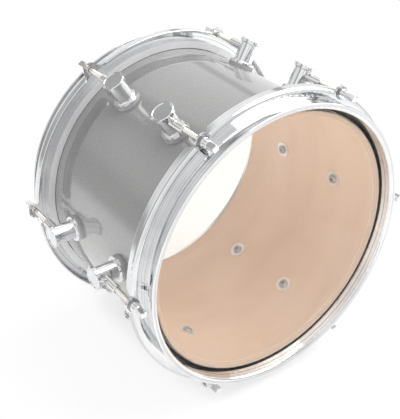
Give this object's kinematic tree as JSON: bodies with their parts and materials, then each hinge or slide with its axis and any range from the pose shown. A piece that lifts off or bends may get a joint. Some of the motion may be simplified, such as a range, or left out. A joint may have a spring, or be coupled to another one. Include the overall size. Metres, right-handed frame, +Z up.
{
  "type": "tom drum with clear drum head",
  "caption": "Wooden tom drum with a clear film head at each end, pressed hoops, and tension rods in round post lugs.",
  "frame": {"origin": "on the floor under the middle of the drum, which lies on the skirts of its two hoops", "axes": "+Z up, the drum's axis along Y with the front head facing -Y, X across"},
  "size_m": [0.3688, 0.2554, 0.348],
  "materials": {
    "shell_lacquer": "grey gloss lacquer outside, bare maple inside",
    "clear_film": "clear polyester film",
    "flesh_hoop_aluminium": "bare rolled channel",
    "amber_resin": "cast resin",
    "hoop_chrome": "polished chrome plate on pressed steel",
    "rod_steel": "plated steel",
    "lug_chrome": "polished chrome plate",
    "sleeve_brass": "plated brass receiver",
    "gasket_rubber": "matt grey",
    "screw_steel": "zinc plated"
  },
  "bodies": {
    "shell": {"shell": "shell_lacquer", "front_lug_gaskets": "gasket_rubber", "front_lug_screws": "screw_steel", "front_lug_screw_washers": "screw_steel", "front_lug_1": "lug_chrome", "front_lug_sleeve_1": "sleeve_brass", "front_lug_2": "lug_chrome", "front_lug_sleeve_2": "sleeve_brass", "front_lug_3": "lug_chrome", "front_lug_sleeve_3": "sleeve_brass", "front_lug_4": "lug_chrome", "front_lug_sleeve_4": "sleeve_brass", "front_lug_5": "lug_chrome", "front_lug_sleeve_5": "sleeve_brass", "front_lug_6": "lug_chrome", "front_lug_sleeve_6": "sleeve_brass", "back_lug_gaskets": "gasket_rubber", "back_lug_screws": "screw_steel", "back_lug_screw_washers": "screw_steel", "back_lug_1": "lug_chrome", "back_lug_sleeve_1": "sleeve_brass", "back_lug_2": "lug_chrome", "back_lug_sleeve_2": "sleeve_brass", "back_lug_3": "lug_chrome", "back_lug_sleeve_3": "sleeve_brass", "back_lug_4": "lug_chrome", "back_lug_sleeve_4": "sleeve_brass", "back_lug_5": "lug_chrome", "back_lug_sleeve_5": "sleeve_brass", "back_lug_6": "lug_chrome", "back_lug_sleeve_6": "sleeve_brass"},
    "front_head": {"front_head_film": "clear_film", "front_resin_bead": "amber_resin", "front_flesh_hoop": "flesh_hoop_aluminium", "front_counter_hoop": "hoop_chrome", "front_rod_washers": "rod_steel"},
    "front_rod_1": {"front_tension_rod_1": "rod_steel"},
    "front_rod_2": {"front_tension_rod_2": "rod_steel"},
    "front_rod_3": {"front_tension_rod_3": "rod_steel"},
    "front_rod_4": {"front_tension_rod_4": "rod_steel"},
    "front_rod_5": {"front_tension_rod_5": "rod_steel"},
    "front_rod_6": {"front_tension_rod_6": "rod_steel"},
    "back_head": {"back_head_film": "clear_film", "back_resin_bead": "amber_resin", "back_flesh_hoop": "flesh_hoop_aluminium", "back_counter_hoop": "hoop_chrome", "back_rod_washers": "rod_steel"},
    "back_rod_1": {"back_tension_rod_1": "rod_steel"},
    "back_rod_2": {"back_tension_rod_2": "rod_steel"},
    "back_rod_3": {"back_tension_rod_3": "rod_steel"},
    "back_rod_4": {"back_tension_rod_4": "rod_steel"},
    "back_rod_5": {"back_tension_rod_5": "rod_steel"},
    "back_rod_6": {"back_tension_rod_6": "rod_steel"}
  },
  "joints": [
    {"name": "front_head_lift", "type": "slide", "parent": "shell", "child": "front_head", "axis": [0, -1, 0], "range_m": [0, 0.01905]},
    {"name": "front_rod_1_turn", "type": "hinge", "parent": "front_head", "child": "front_rod_1", "pos_m": [-0.08264, -0.1143, 0.02179], "axis": [0, -1, 0], "range_deg": [0, 6480]},
    {"name": "front_rod_2_turn", "type": "hinge", "parent": "front_head", "child": "front_rod_2", "pos_m": [-0.17314, -0.1143, 0.16947], "axis": [0, -1, 0], "range_deg": [0, 6480]},
    {"name": "front_rod_3_turn", "type": "hinge", "parent": "front_head", "child": "front_rod_3", "pos_m": [-0.0905, -0.1143, 0.32168], "axis": [0, -1, 0], "range_deg": [0, 6480]},
    {"name": "front_rod_4_turn", "type": "hinge", "parent": "front_head", "child": "front_rod_4", "pos_m": [0.08264, -0.1143, 0.32621], "axis": [0, -1, 0], "range_deg": [0, 6480]},
    {"name": "front_rod_5_turn", "type": "hinge", "parent": "front_head", "child": "front_rod_5", "pos_m": [0.17314, -0.1143, 0.17853], "axis": [0, -1, 0], "range_deg": [0, 6480]},
    {"name": "front_rod_6_turn", "type": "hinge", "parent": "front_head", "child": "front_rod_6", "pos_m": [0.0905, -0.1143, 0.02632], "axis": [0, -1, 0], "range_deg": [0, 6480]},
    {"name": "back_head_lift", "type": "slide", "parent": "shell", "child": "back_head", "axis": [0, 1, 0], "range_m": [0, 0.01905]},
    {"name": "back_rod_1_turn", "type": "hinge", "parent": "back_head", "child": "back_rod_1", "pos_m": [-0.08264, 0.1143, 0.02179], "axis": [0, 1, 0], "range_deg": [0, 6480]},
    {"name": "back_rod_2_turn", "type": "hinge", "parent": "back_head", "child": "back_rod_2", "pos_m": [-0.17314, 0.1143, 0.16947], "axis": [0, 1, 0], "range_deg": [0, 6480]},
    {"name": "back_rod_3_turn", "type": "hinge", "parent": "back_head", "child": "back_rod_3", "pos_m": [-0.0905, 0.1143, 0.32168], "axis": [0, 1, 0], "range_deg": [0, 6480]},
    {"name": "back_rod_4_turn", "type": "hinge", "parent": "back_head", "child": "back_rod_4", "pos_m": [0.08264, 0.1143, 0.32621], "axis": [0, 1, 0], "range_deg": [0, 6480]},
    {"name": "back_rod_5_turn", "type": "hinge", "parent": "back_head", "child": "back_rod_5", "pos_m": [0.17314, 0.1143, 0.17853], "axis": [0, 1, 0], "range_deg": [0, 6480]},
    {"name": "back_rod_6_turn", "type": "hinge", "parent": "back_head", "child": "back_rod_6", "pos_m": [0.0905, 0.1143, 0.02632], "axis": [0, 1, 0], "range_deg": [0, 6480]}
  ],
  "couplings": [
    {"joint": "front_rod_1_turn", "follows": "front_head_lift", "rad_per_m": 5936.9},
    {"joint": "front_rod_2_turn", "follows": "front_head_lift", "rad_per_m": 5936.9},
    {"joint": "front_rod_3_turn", "follows": "front_head_lift", "rad_per_m": 5936.9},
    {"joint": "front_rod_4_turn", "follows": "front_head_lift", "rad_per_m": 5936.9},
    {"joint": "front_rod_5_turn", "follows": "front_head_lift", "rad_per_m": 5936.9},
    {"joint": "front_rod_6_turn", "follows": "front_head_lift", "rad_per_m": 5936.9},
    {"joint": "back_rod_1_turn", "follows": "back_head_lift", "rad_per_m": 5936.9},
    {"joint": "back_rod_2_turn", "follows": "back_head_lift", "rad_per_m": 5936.9},
    {"joint": "back_rod_3_turn", "follows": "back_head_lift", "rad_per_m": 5936.9},
    {"joint": "back_rod_4_turn", "follows": "back_head_lift", "rad_per_m": 5936.9},
    {"joint": "back_rod_5_turn", "follows": "back_head_lift", "rad_per_m": 5936.9},
    {"joint": "back_rod_6_turn", "follows": "back_head_lift", "rad_per_m": 5936.9}
  ]
}
